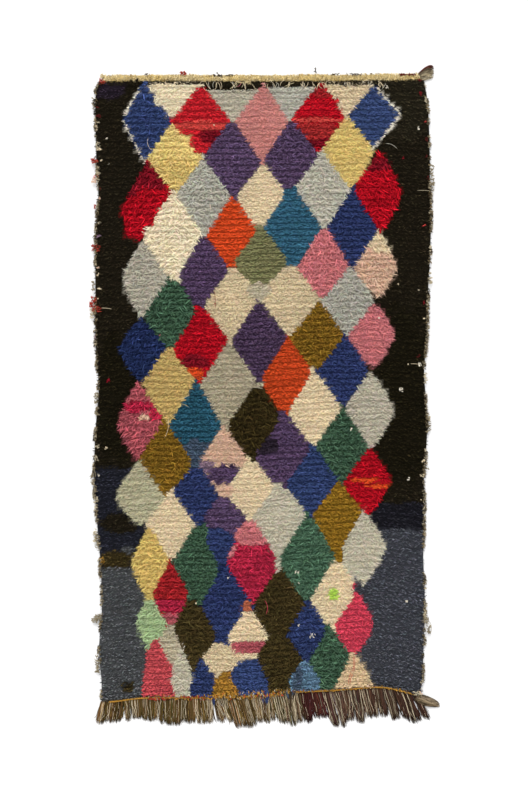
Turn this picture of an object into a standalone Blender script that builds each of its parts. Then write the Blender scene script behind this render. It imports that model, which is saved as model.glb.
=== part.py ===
"""Boucherouite pile rug, lying flat, in metres with +Z up.

+X runs across the rug and +Y along it, from the fringed end to the bound end. The origin is the
middle of the underside. Tables are in centimetres.

Pieces: the knotted cloth, whose height includes its pile, the rolled binding on the far end, the
comb of warp fringe on the near end, the cord twined along the fringe's head, and the two tufts of
yarn that stick out at the right-hand corners.
"""

import math

import bmesh
import bpy

CM = 0.01
GAP = 0.0003  # between neighbouring pieces

EDGE_STEP = 0.025  # spacing of points along a long edge
CLOTH_HEIGHT = 0.018  # woven ground and the pile lying on it
# The cloth's rounded rim: how far each ring lies inside the outline, and its height.
RIM_RINGS = (
    (0.0015, 0.0),
    (0.0, 0.004),
    (0.0025, 0.011),
    (0.0065, 0.0155),
    (0.013, CLOTH_HEIGHT),
)

BINDING_WIDTH = 0.026
BINDING_HEIGHT = 0.013
FRINGE_HEIGHTS = (0.007, 0.004)  # at the head and at the tips
FRINGE_REACH = 0.09  # over which its height falls
# Where the clumps part and where their tips start to narrow, as shares of their length, and how far
# apart neighbouring roots stand, as a share of their width.
CLUMPS_PART = 0.3
TIPS_NARROW = 0.75
ROOTS_APART = 0.06
CORD_RADIUS = 0.002
LOFT_SIDES = 12

# Side edges of the cloth, from the bound end down: y, x.
LEFT_EDGE = (
    (104.9, -54.8), (102.0, -55.7), (89.3, -55.7), (79.3, -55.5), (67.3, -54.8),
    (55.3, -55.7), (32.7, -55.8), (17.7, -55.7), (3.3, -54.7), (-10.7, -55.8),
    (-27.3, -56.2), (-44.7, -55.0), (-52.7, -54.3), (-68.7, -53.6), (-84.0, -54.6),
    (-94.0, -53.8), (-101.3, -53.7),
)
RIGHT_EDGE = (
    (105.6, 54.2), (101.0, 55.2), (89.3, 56.0), (72.7, 56.3), (61.0, 56.6),
    (46.0, 56.2), (32.7, 55.5), (19.3, 55.2), (9.3, 54.3), (-4.7, 55.2),
    (-14.0, 55.2), (-24.7, 54.3), (-40.7, 54.3), (-52.7, 54.0), (-64.7, 54.5),
    (-80.7, 54.2), (-93.0, 53.7), (-99.2, 53.0),
)
# End edges of the cloth, from left to right: x, y.
TOP_EDGE = ((-54.8, 104.9), (-30.0, 105.1), (0.0, 105.1), (30.0, 105.2), (54.2, 105.6))
BOTTOM_EDGE = (
    (-53.7, -101.3), (-48.0, -100.8), (-44.0, -100.2), (-38.0, -99.7), (-15.7, -99.7),
    (-4.0, -99.2), (9.3, -97.8), (22.7, -97.3), (36.3, -96.2), (41.0, -96.3),
    (44.3, -96.8), (47.7, -97.7), (53.0, -99.2),
)
BINDING_ENDS = (-53.3, 52.95)  # x of its two ends
CORD_ENDS = (-51.0, 51.0)

# Clumps of fringe from left to right. Each root starts where the one before it ends.
FRINGE_START = -53.7
FRINGE = (
    # root right, tip left, tip right, tip y
    (-51.0, -55.5, -52.7, -108.7),
    (-48.7, -52.3, -50.5, -108.2),
    (-46.0, -49.3, -47.3, -108.2),
    (-43.7, -45.5, -44.3, -107.7),
    (-40.7, -42.3, -40.3, -107.3),
    (-34.7, -39.3, -36.0, -107.8),
    (-32.0, -34.0, -32.8, -108.7),
    (-27.0, -32.0, -27.3, -109.2),
    (-22.3, -26.5, -22.7, -108.5),
    (-16.7, -20.3, -16.9, -109.0),
    (-12.0, -15.0, -9.0, -107.8),
    (-8.0, -8.2, -5.3, -110.8),
    (-4.0, -4.8, -1.8, -110.5),
    (3.3, -1.3, 4.3, -108.8),
    (7.3, 5.7, 9.3, -109.3),
    (10.7, 9.7, 12.2, -110.0),
    (15.3, 12.7, 17.3, -108.3),
    (20.0, 18.0, 22.0, -106.8),
    (25.7, 23.8, 27.5, -110.3),
    (29.3, 28.2, 30.3, -108.3),
    (32.7, 32.0, 34.2, -109.0),
    (37.3, 34.7, 39.3, -107.2),
    (40.0, 39.8, 42.3, -106.8),
    (44.7, 43.3, 48.0, -107.5),
    (49.3, 48.7, 53.3, -108.2),
    (51.3, 54.2, 56.2, -107.3),
)

# Tufts at the corners, as stations along x: x, middle y, half width, height.
TOP_CORNER_TUFT = (
    (53.0, 107.4, 1.1, 1.2),
    (54.3, 107.8, 1.7, 1.6),
    (55.7, 108.4, 2.4, 1.7),
    (56.8, 108.8, 2.2, 1.4),
    (57.3, 108.5, 1.4, 0.9),
)
BOTTOM_CORNER_TUFT = (
    (52.4, -99.9, 0.5, 0.9),
    (53.4, -100.3, 0.8, 1.2),
    (54.7, -100.8, 1.3, 1.5),
    (56.2, -101.6, 1.7, 1.6),
    (58.0, -102.1, 1.3, 1.3),
    (59.4, -102.6, 0.7, 0.8),
)

# Colour (linear RGB), roughness.
FINISHES = {
    "black_wool": ((0.012, 0.010, 0.008), 0.95),
    "undyed_wool": ((0.60, 0.47, 0.26), 0.95),
    "brown_warp": ((0.11, 0.07, 0.045), 0.95),
    "ochre_wool": ((0.38, 0.20, 0.04), 0.95),
}


def clear_scene():
    for obj in list(bpy.data.objects):
        bpy.data.objects.remove(obj)


def finish(name):
    """The named wool's material, made the first time that it is asked for."""
    if name in bpy.data.materials:
        return bpy.data.materials[name]
    colour, roughness = FINISHES[name]
    material = bpy.data.materials.new(name)
    material.use_nodes = True
    shader = material.node_tree.nodes["Principled BSDF"]
    shader.inputs["Base Color"].default_value = (*colour, 1.0)
    shader.inputs["Roughness"].default_value = roughness
    shader.inputs["Metallic"].default_value = 0.0
    return material


def add_object(name, data, finish_name):
    data.materials.append(finish(finish_name))
    obj = bpy.data.objects.new(name, data)
    bpy.context.scene.collection.objects.link(obj)
    return obj


def mesh_from_rings(name, rings, finish_name):
    """A closed solid through rings of equally many points, from the first cap to the last."""
    mesh = bmesh.new()
    loops = [[mesh.verts.new(point) for point in ring] for ring in rings]
    for lower, upper in zip(loops, loops[1:]):
        for i in range(len(lower)):
            j = (i + 1) % len(lower)
            mesh.faces.new((lower[i], lower[j], upper[j], upper[i]))
    mesh.faces.new(list(reversed(loops[0])))
    mesh.faces.new(loops[-1])
    bmesh.ops.triangulate(mesh, faces=[f for f in mesh.faces if len(f.verts) > 4])
    bmesh.ops.recalc_face_normals(mesh, faces=mesh.faces)
    data = bpy.data.meshes.new(name)
    mesh.to_mesh(data)
    mesh.free()
    return add_object(name, data, finish_name)


def value_at(table, at):
    """The second column at a value of the first, along a smooth curve through the rows (a Catmull-Rom
    curve on unevenly spaced rows)."""
    rows = sorted(table)
    at = min(max(at, rows[0][0]), rows[-1][0])
    i = max(k for k in range(len(rows) - 1) if rows[k][0] <= at)
    (x0, y0), (x1, y1) = rows[i], rows[i + 1]

    def slope(k):
        before, after = rows[max(k - 1, 0)], rows[min(k + 1, len(rows) - 1)]
        return (after[1] - before[1]) / (after[0] - before[0])

    span = x1 - x0
    t = (at - x0) / span
    return (
        (2 * t**3 - 3 * t**2 + 1) * y0
        + (t**3 - 2 * t**2 + t) * span * slope(i)
        + (3 * t**2 - 2 * t**3) * y1
        + (t**3 - t**2) * span * slope(i + 1)
    )


def stations(start, end):
    """Values from start to end, both in centimetres, about EDGE_STEP apart."""
    count = max(1, round(abs(end - start) * CM / EDGE_STEP))
    return [start + (end - start) * i / count for i in range(count + 1)]


def cloth_outline():
    """The cloth's outline in metres, anticlockwise from the near left corner."""
    near = [(x, value_at(BOTTOM_EDGE, x)) for x in stations(BOTTOM_EDGE[0][0], BOTTOM_EDGE[-1][0])]
    right = [(value_at(RIGHT_EDGE, y), y) for y in stations(RIGHT_EDGE[-1][0], RIGHT_EDGE[0][0])]
    far = [(x, value_at(TOP_EDGE, x)) for x in stations(TOP_EDGE[-1][0], TOP_EDGE[0][0])]
    left = [(value_at(LEFT_EDGE, y), y) for y in stations(LEFT_EDGE[0][0], LEFT_EDGE[-1][0])]
    # Each side ends where the next one starts.
    return [(x * CM, y * CM) for x, y in near[:-1] + right[:-1] + far[:-1] + left[:-1]]


def inset(outline, distance):
    """The outline moved inwards, each point along the mean of its two sides' normals."""
    moved = []
    for i, (x, y) in enumerate(outline):
        (x0, y0), (x1, y1) = outline[i - 1], outline[(i + 1) % len(outline)]
        before = math.atan2(y - y0, x - x0)
        turn = (math.atan2(y1 - y, x1 - x) - before + math.pi) % math.tau - math.pi
        inward = before + turn / 2 + math.pi / 2
        reach = distance / math.cos(turn / 2)
        moved.append((x + reach * math.cos(inward), y + reach * math.sin(inward)))
    return moved


def make_cloth():
    outline = cloth_outline()
    rings = [[(x, y, z) for x, y in inset(outline, distance)] for distance, z in RIM_RINGS]
    mesh_from_rings("rug_cloth", rings, "black_wool")


def section_yz(x, middle_y, half_width, height, bottom=0.0):
    """A flattened round section across x, resting on its flat underside."""
    points = []
    for i in range(LOFT_SIDES):
        angle = math.tau * i / LOFT_SIDES
        y = middle_y + half_width * math.cos(angle)
        z = bottom + height * max(0.0, 0.5 + 0.62 * math.sin(angle)) / 1.12
        points.append((x, y, z))
    return points


def make_binding():
    rings = []
    for x in stations(*BINDING_ENDS):
        near = value_at(TOP_EDGE, x) * CM + GAP
        middle = near + BINDING_WIDTH / 2
        rings.append(section_yz(x * CM, middle, BINDING_WIDTH / 2, BINDING_HEIGHT))
    mesh_from_rings("top_binding", rings, "undyed_wool")


def clump_outline(root_left, root_right, tip_left, tip_right, tip_y):
    """One tooth of the comb, from its left root round its tip to its right root."""
    apart = ROOTS_APART * (root_right - root_left)
    quarter = 0.25 * (tip_right - tip_left)
    left, right = root_left + apart, root_right - apart
    points = []
    for share, root, tip in (
        (CLUMPS_PART, left, tip_left),
        (TIPS_NARROW, left, tip_left),
        (1.0, left, tip_left + quarter),
        (1.0, right, tip_right - quarter),
        (TIPS_NARROW, right, tip_right),
        (CLUMPS_PART, right, tip_right),
    ):
        root_y = value_at(BOTTOM_EDGE, root)
        points.append(((root + (tip - root) * share) * CM, (root_y + (tip_y - root_y) * share) * CM))
    return points


def make_fringe():
    """The comb: a head along the cloth's edge, and a tapered tooth for each clump of warp ends."""
    outline = [
        (x * CM, value_at(BOTTOM_EDGE, x) * CM - GAP)
        for x in stations(FRINGE[-1][0], FRINGE_START)
    ]
    root_left = FRINGE_START
    for root_right, *tip in FRINGE:
        outline.extend(clump_outline(root_left, root_right, *tip))
        root_left = root_right

    mesh = bmesh.new()
    face = mesh.faces.new([mesh.verts.new((x, y, 0.0)) for x, y in outline])
    raised = bmesh.ops.extrude_face_region(mesh, geom=[face], use_keep_orig=True)
    top = [v for v in raised["geom"] if isinstance(v, bmesh.types.BMVert)]
    bmesh.ops.triangulate(mesh, faces=[f for f in mesh.faces if len(f.verts) > 4])
    head_height, tip_height = FRINGE_HEIGHTS
    for vert in top:
        depth = value_at(BOTTOM_EDGE, vert.co.x / CM) * CM - vert.co.y
        share = min(1.0, depth / FRINGE_REACH)
        vert.co.z = head_height + (tip_height - head_height) * share
    bmesh.ops.recalc_face_normals(mesh, faces=mesh.faces)
    data = bpy.data.meshes.new("warp_fringe")
    mesh.to_mesh(data)
    mesh.free()
    add_object("warp_fringe", data, "brown_warp")


def make_twined_cord():
    """The cord twined across the warp ends, lying on the fringe's head against the cloth."""
    data = bpy.data.curves.new("twined_cord", "CURVE")
    data.dimensions = "3D"
    data.bevel_depth = CORD_RADIUS
    data.bevel_resolution = 2
    data.use_fill_caps = True
    spline = data.splines.new("POLY")
    places = stations(*CORD_ENDS)
    spline.points.add(len(places) - 1)
    for point, x in zip(spline.points, places):
        y = value_at(BOTTOM_EDGE, x) * CM - 3 * GAP - CORD_RADIUS
        point.co = (x * CM, y, FRINGE_HEIGHTS[0] + GAP + CORD_RADIUS, 1.0)
    add_object("twined_cord", data, "ochre_wool")


def make_corner_tuft(name, table):
    rings = [section_yz(x * CM, y * CM, half * CM, height * CM) for x, y, half, height in table]
    mesh_from_rings(name, rings, "brown_warp")


clear_scene()
make_cloth()
make_binding()
make_fringe()
make_twined_cord()
make_corner_tuft("top_corner_tuft", TOP_CORNER_TUFT)
make_corner_tuft("bottom_corner_tuft", BOTTOM_CORNER_TUFT)
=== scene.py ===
"""The looks of a boucherouite pile rug: lozenges in many wools on a black ground, knotted in rows.

Sizes are in metres and tables in centimetres, from the middle of the rug's underside: +X across it,
+Y from the fringe to the binding, +Z up through the pile. Every strand of pile starts at a knot. The
knots lie in rows between the edges of the cloth, and the chart says which wool each is tied in.
"""

import math

import bpy
import numpy as np
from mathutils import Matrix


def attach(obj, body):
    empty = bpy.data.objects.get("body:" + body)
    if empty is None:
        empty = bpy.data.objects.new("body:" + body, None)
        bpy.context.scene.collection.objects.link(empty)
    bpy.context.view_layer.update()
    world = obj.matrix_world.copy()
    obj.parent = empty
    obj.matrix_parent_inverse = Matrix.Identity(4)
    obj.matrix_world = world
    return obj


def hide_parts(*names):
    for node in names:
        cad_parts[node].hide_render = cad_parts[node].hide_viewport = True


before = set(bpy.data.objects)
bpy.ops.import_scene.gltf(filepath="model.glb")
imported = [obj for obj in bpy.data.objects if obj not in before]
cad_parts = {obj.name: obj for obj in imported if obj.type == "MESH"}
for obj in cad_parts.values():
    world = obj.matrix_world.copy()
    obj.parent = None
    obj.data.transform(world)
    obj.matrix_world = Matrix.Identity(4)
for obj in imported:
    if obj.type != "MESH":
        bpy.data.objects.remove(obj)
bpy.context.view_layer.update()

CM = 0.01
MM = 0.001
rng = np.random.default_rng(11)

ROW_PITCH = 20 * MM  # from one row of knots to the next
KNOT_PITCH = 5.5 * MM  # along a row
GROUND_TOP = 8.5 * MM  # the ground and the dense foot of the pile
RIM_TOP = 3 * MM  # the ground's thickness at its edge
PILE_RISE = 7.5 * MM  # how far strands rise over the ground

# ------------------------------ the wools

# Linear colours, in families. Each family of strands is one piece.
WOOLS = {
    "black": {
        "black": (0.0235, 0.0182, 0.0096), "soot": (0.034, 0.028, 0.0155),
        "jet": (0.017, 0.0135, 0.0056), "navy": (0.027, 0.0285, 0.041), "ink": (0.021, 0.0205, 0.028),
        "aubergine": (0.035, 0.024, 0.038),
    },
    "slate": {"slate": (0.116, 0.122, 0.127), "dusk": (0.093, 0.098, 0.118)},
    "brown": {"brown": (0.070, 0.050, 0.0165), "brown_dark": (0.047, 0.033, 0.010)},
    "ivory": {
        "cream": (0.89, 0.74, 0.50), "milk": (0.98, 0.87, 0.64), "sand": (0.79, 0.655, 0.43),
        "ecru": (0.79, 0.61, 0.38), "white": (1.00, 0.92, 0.76),
    },
    "grey": {
        "ice": (0.63, 0.58, 0.46), "ice_warm": (0.69, 0.64, 0.50), "ice_shade": (0.583, 0.54, 0.44),
        "ice_cool": (0.55, 0.53, 0.45), "ice_pale": (0.655, 0.625, 0.52),
        "ice_dull": (0.54, 0.475, 0.335), "ice_blue": (0.58, 0.56, 0.475),
        "mint_grey": (0.585, 0.55, 0.37), "mushroom": (0.61, 0.54, 0.39),
    },
    "blue": {
        "blue": (0.044, 0.067, 0.186), "royal": (0.054, 0.087, 0.230), "cobalt": (0.066, 0.106, 0.258),
        "lapis": (0.0475, 0.077, 0.204), "midnight": (0.024, 0.040, 0.124),
        "blue_deep": (0.0412, 0.0615, 0.179), "denim": (0.150, 0.262, 0.375),
    },
    "teal": {
        "teal": (0.052, 0.168, 0.258), "teal_deep": (0.033, 0.127, 0.190),
        "teal_grey": (0.085, 0.125, 0.185),
    },
    "violet": {
        "violet": (0.124, 0.074, 0.153), "plum": (0.140, 0.086, 0.173), "grape": (0.104, 0.062, 0.124),
        "mauve": (0.30, 0.20, 0.27),
    },
    "red": {
        "red": (0.56, 0.0080, 0.0210), "cherry": (0.66, 0.0100, 0.0245),
        "red_dark": (0.28, 0.010, 0.022), "brick": (0.466, 0.0245, 0.030),
        "scarlet": (0.70, 0.024, 0.037), "ember": (0.52, 0.038, 0.038), "salmon": (0.74, 0.085, 0.072),
    },
    "crimson": {
        "crimson": (0.53, 0.028, 0.073), "raspberry": (0.75, 0.076, 0.128),
        "coral": (0.66, 0.101, 0.117),
    },
    "rose": {
        "rose": (0.73, 0.250, 0.262), "rose_deep": (0.54, 0.125, 0.150), "pink": (0.74, 0.325, 0.290),
        "peach": (0.79, 0.54, 0.39),
    },
    "orange": {
        "orange": (0.78, 0.094, 0.022), "pumpkin": (0.67, 0.084, 0.020), "apricot": (0.62, 0.19, 0.10),
    },
    "yellow": {
        "lemon": (0.96, 0.77, 0.31), "yellow": (0.86, 0.67, 0.250), "maize": (0.78, 0.585, 0.195),
        "straw": (0.68, 0.50, 0.19),
    },
    "olive": {
        "ochre": (0.48, 0.25, 0.040), "olive": (0.285, 0.158, 0.0195),
        "mustard": (0.355, 0.195, 0.0205),
    },
    "green": {
        "sage": (0.272, 0.266, 0.122), "pine": (0.070, 0.141, 0.084), "fir": (0.094, 0.190, 0.116),
        "mint": (0.475, 0.610, 0.333), "lime": (0.52, 0.76, 0.12),
    },
}
WOOL_NAMES = [name for family in WOOLS.values() for name in family]
WOOL_COLOURS = np.array([colour for family in WOOLS.values() for colour in family.values()])

# ------------------------------ the chart

# The lozenges, from the bound end down: middle x and y, reach to the left, right, up and down, wool,
# and how shaggy the pile lies, from 0 for combed rows to 1.
LOZENGES = (
    (-29.7, 104.7, 9.0, 9.0, 3.3, 13.0, "milk", 0.5),
    (-9.0, 104.3, 9.0, 9.0, 3.3, 12.3, "ice", 0.4),
    (9.0, 104.3, 7.0, 9.2, 3.3, 11.7, "ice_blue", 0.3),
    (28.3, 104.3, 6.6, 8.7, 3.3, 12.0, "cream", 0.5),
    (-39.2, 92.7, 6.7, 9.0, 13.1, 13.0, "royal", 0.6),
    (-21.5, 93.0, 9.9, 9.7, 10.5, 12.0, "scarlet", 0.3),
    (0.0, 92.3, 9.3, 9.0, 12.0, 14.7, "pink", 0.4),
    (19.3, 93.7, 9.1, 8.0, 10.5, 10.4, "cherry", 0.3),
    (37.1, 94.4, 9.7, 8.5, 9.6, 10.3, "cobalt", 0.2),
    (-29.6, 79.7, 8.3, 9.6, 11.5, 11.9, "lemon", 0.7),
    (-9.3, 79.0, 9.3, 9.3, 13.3, 12.3, "plum", 0.4),
    (9.3, 80.0, 9.0, 8.7, 12.3, 10.7, "plum", 0.5),
    (29.0, 81.7, 8.8, 8.0, 12.8, 11.7, "yellow", 0.6),
    (-39.4, 65.0, 7.2, 9.7, 12.6, 12.3, "red", 0.9),
    (-19.7, 67.3, 8.7, 8.7, 12.3, 13.0, "ice_blue", 0.8),
    (0.3, 67.7, 8.3, 7.2, 10.0, 11.0, "cream", 0.3),
    (20.3, 69.7, 8.7, 9.0, 12.3, 12.7, "ice_pale", 0.7),
    (39.4, 68.3, 8.3, 7.0, 13.7, 13.0, "red", 0.9),
    (-30.0, 55.3, 10.7, 10.3, 15.0, 15.7, "milk", 0.7),
    (-10.0, 54.7, 7.9, 7.3, 12.0, 11.0, "orange", 0.0),
    (9.8, 57.3, 9.5, 9.5, 14.3, 14.0, "teal", 0.1),
    (30.3, 56.7, 8.0, 8.3, 13.3, 12.8, "blue_deep", 0.2),
    (-39.7, 39.3, 6.9, 8.0, 12.7, 12.7, "ice_shade", 0.8),
    (-20.0, 41.7, 6.8, 8.7, 12.3, 11.7, "violet", 0.4),
    (0.0, 46.0, 10.0, 9.0, 11.3, 7.3, "sage", 0.0),
    (20.7, 43.3, 7.9, 7.8, 13.3, 10.3, "rose", 0.9),
    (38.7, 43.3, 7.3, 6.3, 12.7, 9.9, "peach", 0.7),
    (-31.0, 28.0, 8.3, 7.5, 12.0, 11.0, "pine", 0.7),
    (-10.8, 31.7, 8.3, 8.8, 11.3, 12.7, "sand", 0.4),
    (-0.7, 35.8, 4.7, 4.5, 3.0, 3.6, "mushroom", 0.3),
    (9.7, 32.7, 9.3, 9.3, 11.7, 11.7, "sand", 0.4),
    (28.7, 32.7, 8.3, 8.3, 10.7, 11.3, "ice_cool", 0.7),
    (-40.3, 16.3, 7.3, 8.0, 10.3, 11.0, "midnight", 0.8),
    (-20.4, 17.7, 9.0, 8.9, 12.3, 12.0, "red", 0.5),
    (-1.3, 19.7, 8.3, 9.0, 12.7, 13.3, "grape", 0.4),
    (18.7, 20.3, 9.0, 8.7, 11.3, 11.0, "olive", 0.6),
    (37.3, 21.0, 8.3, 6.9, 10.7, 10.7, "rose", 0.6),
    (-31.3, 5.3, 8.3, 8.5, 12.0, 13.1, "straw", 0.6),
    (-11.3, 4.7, 8.7, 9.3, 12.7, 15.0, "ice_dull", 0.5),
    (8.6, 7.3, 7.9, 7.5, 12.3, 12.3, "pumpkin", 0.2),
    (27.3, 9.0, 9.0, 8.0, 11.7, 11.3, "blue_deep", 0.4),
    (-41.5, -8.3, 6.5, 7.9, 13.3, 12.3, "rose_deep", 0.95),
    (-22.0, -9.5, 8.4, 7.8, 14.7, 13.7, "teal_deep", 0.25),
    (-3.0, -8.3, 8.7, 8.6, 12.7, 11.7, "brown_dark", 0.9),
    (17.3, -4.0, 8.8, 9.0, 13.0, 11.8, "cream", 0.4),
    (36.3, -4.3, 8.7, 7.6, 12.7, 12.7, "ice", 0.5),
    (-32.9, -20.3, 8.0, 9.3, 13.0, 11.7, "olive", 0.6),
    (-12.7, -21.0, 7.7, 6.7, 11.3, 12.7, "peach", 0.5),
    (7.3, -18.0, 9.7, 9.6, 13.0, 12.7, "violet", 0.4),
    (27.0, -16.3, 8.7, 8.3, 14.0, 12.3, "pine", 0.6),
    (-40.7, -33.2, 8.0, 8.0, 12.5, 9.3, "mint_grey", 0.5),
    (-21.7, -31.7, 7.3, 6.7, 9.0, 12.0, "blue_deep", 0.3),
    (-4.0, -30.7, 9.7, 8.0, 10.3, 10.2, "cream", 0.3),
    (16.5, -27.8, 9.2, 8.7, 12.6, 11.2, "lapis", 0.3),
    (35.7, -27.7, 8.7, 7.1, 11.0, 11.0, "red", 0.5),
    (-30.0, -41.8, 7.7, 7.8, 10.7, 12.0, "cream", 0.4),
    (-12.3, -39.3, 7.5, 7.1, 6.7, 7.2, "plum", 0.4),
    (5.7, -39.0, 9.0, 9.1, 11.3, 16.0, "ice_warm", 0.5),
    (25.3, -38.3, 8.0, 7.7, 10.3, 15.0, "mustard", 0.4),
    (-37.5, -55.3, 5.9, 6.7, 11.7, 12.0, "maize", 0.7),
    (-21.6, -54.7, 8.0, 8.2, 13.3, 13.3, "pine", 0.6),
    (-13.7, -47.7, 5.6, 5.2, 7.6, 12.0, "blue", 0.3),
    (-3.3, -53.0, 9.6, 8.0, 12.8, 13.3, "crimson", 0.7),
    (14.7, -52.7, 9.3, 9.1, 14.7, 15.3, "fir", 0.6),
    (33.7, -49.6, 7.3, 7.6, 11.7, 12.8, "ice_warm", 0.6),
    (-30.7, -64.3, 5.7, 5.3, 10.3, 11.3, "brick", 0.5),
    (-12.0, -68.7, 6.7, 7.8, 12.7, 14.3, "blue_deep", 0.5),
    (6.7, -68.7, 8.0, 8.0, 10.3, 12.0, "brown", 0.6),
    (24.0, -66.8, 6.9, 6.9, 11.9, 10.9, "cream", 0.6),
    (-37.9, -74.7, 4.0, 5.3, 8.0, 8.2, "mint", 0.7),
    (-30.0, -81.3, 3.7, 3.0, 6.0, 6.7, "mushroom", 0.5),
    (-22.6, -78.3, 6.6, 5.6, 10.3, 10.5, "brown", 0.7),
    (-5.5, -79.3, 7.1, 5.2, 9.3, 9.3, "cream", 0.5),
    (15.0, -78.7, 6.8, 6.3, 11.3, 9.0, "blue", 0.5),
    (31.3, -75.3, 8.3, 5.9, 10.9, 10.2, "raspberry", 0.4),
    (-36.7, -98.0, 3.4, 9.8, 17.0, 10.0, "coral", 0.3),
    (-26.9, -94.7, 4.1, 3.6, 11.7, 13.3, "ice_warm", 0.5),
    (-20.5, -96.0, 3.9, 4.9, 8.7, 10.0, "blue", 0.3),
    (-14.0, -86.7, 5.3, 5.8, 4.7, 6.3, "sand", 0.4),
    (-12.7, -97.3, 4.3, 5.7, 7.3, 10.0, "ochre", 0.4),
    (-4.0, -94.0, 7.0, 5.0, 8.7, 12.0, "royal", 0.3),
    (6.3, -87.6, 6.0, 6.7, 11.3, 13.2, "brown", 0.5),
    (14.0, -93.7, 5.5, 5.2, 6.7, 10.0, "denim", 0.4),
    (22.3, -87.0, 5.8, 6.2, 12.0, 12.0, "pine", 0.7),
    (30.8, -98.0, 7.6, 7.0, 12.7, 10.0, "ecru", 0.4),
)
# Lozenges that lean: how much higher their right point is, and how far right their top is, as slopes.
LEANS = {13: (0.37, 0.1), 33: (0.3, 0.0)}
ROUNDNESS = 1.2  # of the lozenges' sides against the border: 1 is straight
OUTLINED_ROUNDNESS = 1.03
# The border's wools never come further in than these: x above a y, that y, and x below it.
FIELD_LEFT = (-38.5, -83, -38.7)
FIELD_RIGHT = (34.7, -42, 30.7)

# Where the wools give way to the black row along the binding.
TOP_ROWS = {
    "milk": 104.5, "cream": 104.5, "ice": 102.6, "ice_blue": 103.6,
    "scarlet": 104.0, "pink": 104.7, "cherry": 104.7, "cobalt": 103.8,
}

# The border from the bound end down: its wools on the left and right, and where each starts.
BORDER = (("black", "black", 110, 110), ("navy", "ink", -23.3, -35.0), ("slate", "dusk", -56.7, -43.7))
BORDER_SHAG = 0.2

# Changes of wool inside a shape: middle x and y, half width and height, the wool there and the new one.
ACCENTS = (
    (-25.9, 86.1, 1.9, 2.2, "scarlet", "lemon"),
    (-34.8, 99.3, 1.4, 2.3, "royal", "milk"),
    (-20.3, 91.0, 9.9, 1.5, "scarlet", "salmon"),
    (-15.3, 87.7, 5.3, 3.0, "scarlet", "red_dark"),
    (19.3, 103.0, 4.0, 2.7, "cherry", "brick"),
    (18.0, 92.7, 7.7, 0.4, "cherry", "salmon"),
    (16.7, 89.0, 8.0, 2.5, "cherry", "ember"),
    (18.7, 85.7, 5.3, 2.7, "cherry", "red_dark"),
    (-29.7, 74.7, 8.7, 5.7, "lemon", "yellow"),
    (-38.0, 74.3, 8.7, 4.3, "red", "red_dark"),
    (-43.7, 69.4, 2.0, 2.8, "red", "red_dark"),
    (38.7, 77.7, 8.0, 2.3, "red", "red_dark"),
    (-42.3, 56.7, 3.2, 3.2, "black", "red"),
    (-38.1, 61.4, 2.7, 4.3, "milk", "red"),
    (23.3, 97.2, 2.2, 3.4, "cream", "cherry"),
    (39.9, 52.2, 4.8, 3.5, "peach", "cream"),
    (-22.3, 12.0, 5.0, 2.0, "red", "red_dark"),
    (-22.3, 8.0, 3.3, 2.3, "red", "orange"),
    (-41.3, -2.7, 4.7, 1.9, "rose_deep", "crimson"),
    (-35.3, -5.3, 2.3, 1.7, "rose_deep", "crimson"),
    (-37.3, -6.3, 4.0, 0.8, "rose_deep", "peach"),
    (-22.0, -18.7, 6.0, 4.7, "teal_deep", "teal_grey"),
    (-12.3, -25.3, 5.7, 3.0, "peach", "violet"),
    (-18.7, -23.0, 3.3, 2.3, "peach", "mauve"),
    (-13.3, -30.5, 3.7, 2.7, "cream", "peach"),
    (33.3, -27.2, 5.2, 0.9, "red", "orange"),
    (39.0, -29.3, 4.3, 0.7, "red", "orange"),
    (1.7, -16.0, 3.3, 3.0, "violet", "aubergine"),
    (-3.0, -44.0, 7.5, 5.0, "crimson", "rose"),
    (-10.8, -50.3, 1.9, 2.2, "crimson", "rose"),
    (-30.7, -69.5, 5.3, 2.5, "brick", "crimson"),
    (-30.0, -73.5, 3.3, 2.0, "brick", "rose_deep"),
    (-4.5, -69.0, 1.5, 2.5, "cream", "apricot"),
    (-4.5, -69.0, 1.5, 1.7, "crimson", "apricot"),
    (-4.9, -69.7, 1.6, 2.0, "blue_deep", "apricot"),
    (-13.3, -83.6, 3.9, 1.5, "blue_deep", "sand"),
    (-3.2, -84.8, 3.6, 2.0, "royal", "cream"),
    (-4.3, -83.0, 5.4, 2.1, "cream", "rose_deep"),
    (-12.3, -59.0, 2.7, 3.6, "blue", "midnight"),
    (24.0, -65.5, 1.7, 1.7, "cream", "lime"),
    (11.7, -93.5, 1.6, 4.4, "denim", "teal_grey"),
    (-49.0, -54.0, 5.7, 3.0, "navy", "brown"),
    (-44.7, -51.3, 2.3, 2.0, "navy", "slate"),
    (-44.8, -96.2, 2.1, 1.7, "slate", "brown"),
    (-44.9, -96.0, 1.2, 1.0, "brown", "black"),
    (-50.7, 102.3, 5.0, 2.3, "black", "aubergine"),
    (-48.0, -42.0, 6.0, 3.0, "navy", "black"),
    (46.5, 97.0, 9.0, 11.0, "black", "soot"),
    (46.0, 0.0, 9.0, 30.0, "black", "jet"),
    (-47.0, 0.0, 8.0, 22.0, "black", "jet"),
)
ACCENT_POWER = 3  # 2 makes them ellipses, and more makes them squarer
ACCENT_FRAY = 0.5  # how ragged their outlines are
FRAY_SIZE = (15 * MM, 8 * MM)  # across and along

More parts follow.
